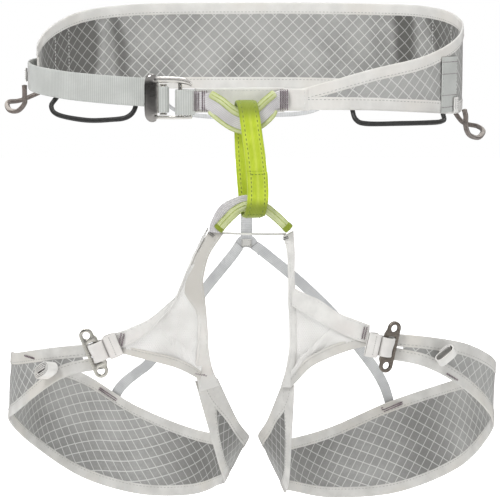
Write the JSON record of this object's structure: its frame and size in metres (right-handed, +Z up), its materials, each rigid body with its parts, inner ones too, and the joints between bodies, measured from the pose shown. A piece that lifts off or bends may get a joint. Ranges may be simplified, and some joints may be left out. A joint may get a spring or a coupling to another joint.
{
  "type": "climbing harness",
  "caption": "Light climbing harness with a ripstop waist belt, one waist buckle, a lime belay loop, four gear loops and two adjustable leg loops with plate buckles.",
  "frame": {"origin": "middle of the waist opening, level with the front webbing", "axes": "-Y is the front, where the belay loop hangs; +X is to the right as seen from the front; +Z is up. Left and right in names are as seen from the front."},
  "size_m": [0.3936, 0.2576, 0.421],
  "materials": {
    "ripstop": "translucent grey ripstop fabric with a white grid",
    "grey_webbing": "light grey woven webbing",
    "white_webbing": "white structural webbing",
    "mesh": "white warp-knit mesh",
    "elastic": "light grey elastic",
    "green_webbing": "bright lime tubular webbing",
    "pale_green_guard": "pale green protective sleeve",
    "bare_metal": "polished aluminium",
    "dark_metal": "aluminium plate, dark finish",
    "black_loop": "moulded black loop",
    "brown_loop": "brown-grey covered loop",
    "thread": "dark bar tack thread"
  },
  "bodies": {
    "belt": {"belt_panel": "ripstop", "belt_top_binding": "grey_webbing", "belt_bottom_binding": "grey_webbing", "belt_end_binding": "grey_webbing", "belt_side_tape": "grey_webbing", "belt_front_tab": "white_webbing", "waist_strap": "grey_webbing", "buckle_anchor_webbing": "white_webbing", "tie_in_bridge": "white_webbing", "upper_tie_in_webbing": "white_webbing", "upper_tie_in_top_guard": "pale_green_guard", "upper_tie_in_bottom_guard": "pale_green_guard", "waist_bar_tacks": "thread", "side_loop_tab_left": "white_webbing", "side_loop_tab_right": "white_webbing"},
    "waist_buckle": {"waist_buckle_frame": "bare_metal"},
    "waist_slider": {"waist_buckle_slider": "bare_metal", "waist_strap_turn": "grey_webbing"},
    "belay": {"belay_loop": "green_webbing", "belay_loop_overlap": "green_webbing"},
    "leg_yoke": {"lower_tie_in_webbing": "white_webbing", "lower_tie_in_guard": "pale_green_guard", "lower_guard_left_end": "green_webbing", "lower_guard_right_end": "green_webbing", "tie_in_cross_strap": "elastic", "riser_joint": "elastic", "riser_branch_left": "elastic", "riser_branch_right": "elastic"},
    "riser": {"riser_strap": "elastic"},
    "gear_loop_front_left": {"front_gear_loop_left": "black_loop"},
    "gear_loop_front_right": {"front_gear_loop_right": "black_loop"},
    "gear_loop_side_left": {"side_gear_loop_left": "brown_loop"},
    "gear_loop_side_right": {"side_gear_loop_right": "brown_loop"},
    "haul": {"haul_loop": "elastic"},
    "left_leg": {"leg_panel_left": "ripstop", "leg_top_binding_left": "grey_webbing", "leg_bottom_binding_left": "grey_webbing", "leg_front_strap_left": "white_webbing", "leg_mesh_left": "mesh", "leg_brace_left": "white_webbing", "leg_mesh_binding_left": "grey_webbing", "leg_buckle_webbing_left": "white_webbing", "leg_bar_tacks_left": "thread"},
    "left_leg_buckle": {"leg_buckle_left": "bare_metal"},
    "left_strap_tail": {"leg_strap_keeper_left": "white_webbing"},
    "right_leg": {"leg_panel_right": "ripstop", "leg_top_binding_right": "grey_webbing", "leg_bottom_binding_right": "grey_webbing", "leg_front_strap_right": "white_webbing", "leg_mesh_right": "mesh", "leg_brace_right": "white_webbing", "leg_mesh_binding_right": "grey_webbing", "leg_buckle_webbing_right": "white_webbing", "leg_bar_tacks_right": "thread"},
    "right_leg_buckle": {"leg_buckle_right": "dark_metal"},
    "right_strap_tail": {"leg_strap_keeper_right": "white_webbing"}
  },
  "joints": [
    {"name": "waist_buckle_tilt", "type": "hinge", "parent": "belt", "child": "waist_buckle", "pos_m": [-0.051, -0.112, 0.0018], "axis": [0, 0, 1], "range_deg": [0, 12]},
    {"name": "waist_slider_travel", "type": "slide", "parent": "belt", "child": "waist_slider", "axis": [1, 0, 0], "range_m": [0, 0.004]},
    {"name": "belay_loop_swing", "type": "hinge", "parent": "belt", "child": "belay", "pos_m": [-0.003, -0.123, -0.006], "axis": [1, 0, 0], "range_deg": [-12, 12]},
    {"name": "leg_yoke_swing", "type": "hinge", "parent": "belay", "child": "leg_yoke", "pos_m": [0.001, -0.123, -0.075], "axis": [1, 0, 0], "range_deg": [-12, 12]},
    {"name": "riser_swing", "type": "hinge", "parent": "belt", "child": "riser", "pos_m": [-0.003, 0.1123, 0.006], "axis": [1, 0, 0], "range_deg": [-6, 6]},
    {"name": "left_leg_spread", "type": "hinge", "parent": "leg_yoke", "child": "left_leg", "pos_m": [-0.026, -0.117, -0.095], "axis": [0, 1, 0], "range_deg": [0, 9], "deforming": ["riser_branch_left"]},
    {"name": "right_leg_spread", "type": "hinge", "parent": "leg_yoke", "child": "right_leg", "pos_m": [0.028, -0.117, -0.095], "axis": [0, -1, 0], "range_deg": [0, 9], "deforming": ["riser_branch_right"]},
    {"name": "left_leg_buckle_tilt", "type": "hinge", "parent": "left_leg", "child": "left_leg_buckle", "pos_m": [-0.11268, -0.0984, -0.18755], "axis": [-0.3746, 0, 0.9272], "range_deg": [-5, 12]},
    {"name": "right_leg_buckle_tilt", "type": "hinge", "parent": "right_leg", "child": "right_leg_buckle", "pos_m": [0.10039, -0.1042, -0.18302], "axis": [0.2079, 0, 0.9781], "range_deg": [-12, 5]},
    {"name": "left_strap_tail_slide", "type": "slide", "parent": "left_leg", "child": "left_strap_tail", "axis": [0.6525, -0.5358, 0.5358], "range_m": [-0.004, 0.004]},
    {"name": "right_strap_tail_slide", "type": "slide", "parent": "right_leg", "child": "right_strap_tail", "axis": [0.818, 0.3404, -0.4636], "range_m": [-0.004, 0.004]},
    {"name": "front_gear_loop_left_swing", "type": "hinge", "parent": "belt", "child": "gear_loop_front_left", "pos_m": [-0.147, -0.0635, -0.0008], "axis": [-0.868, 0.493, 0.0583], "range_deg": [-4, 25]},
    {"name": "front_gear_loop_right_swing", "type": "hinge", "parent": "belt", "child": "gear_loop_front_right", "pos_m": [0.0754, -0.0989, -0.0075], "axis": [0.8634, 0.4992, -0.0724], "range_deg": [-25, 4]},
    {"name": "side_gear_loop_left_swing", "type": "hinge", "parent": "belt", "child": "gear_loop_side_left", "pos_m": [-0.1775, -0.004, 0.005], "axis": [0.3661, 0.9299, -0.0349], "range_deg": [-5, 20]},
    {"name": "side_gear_loop_right_swing", "type": "hinge", "parent": "belt", "child": "gear_loop_side_right", "pos_m": [0.1645, -0.043, -0.011], "axis": [-0.0316, 0.9993, 0.021], "range_deg": [-20, 5]},
    {"name": "haul_loop_swing", "type": "hinge", "parent": "belt", "child": "haul", "pos_m": [0, 0.1155, 0], "axis": [1, 0, 0], "range_deg": [0, 50]}
  ],
  "couplings": [
    {"joint": "leg_yoke_swing", "follows": "belay_loop_swing", "ratio": -1},
    {"joint": "riser_swing", "follows": "belay_loop_swing", "ratio": 0.5}
  ]
}
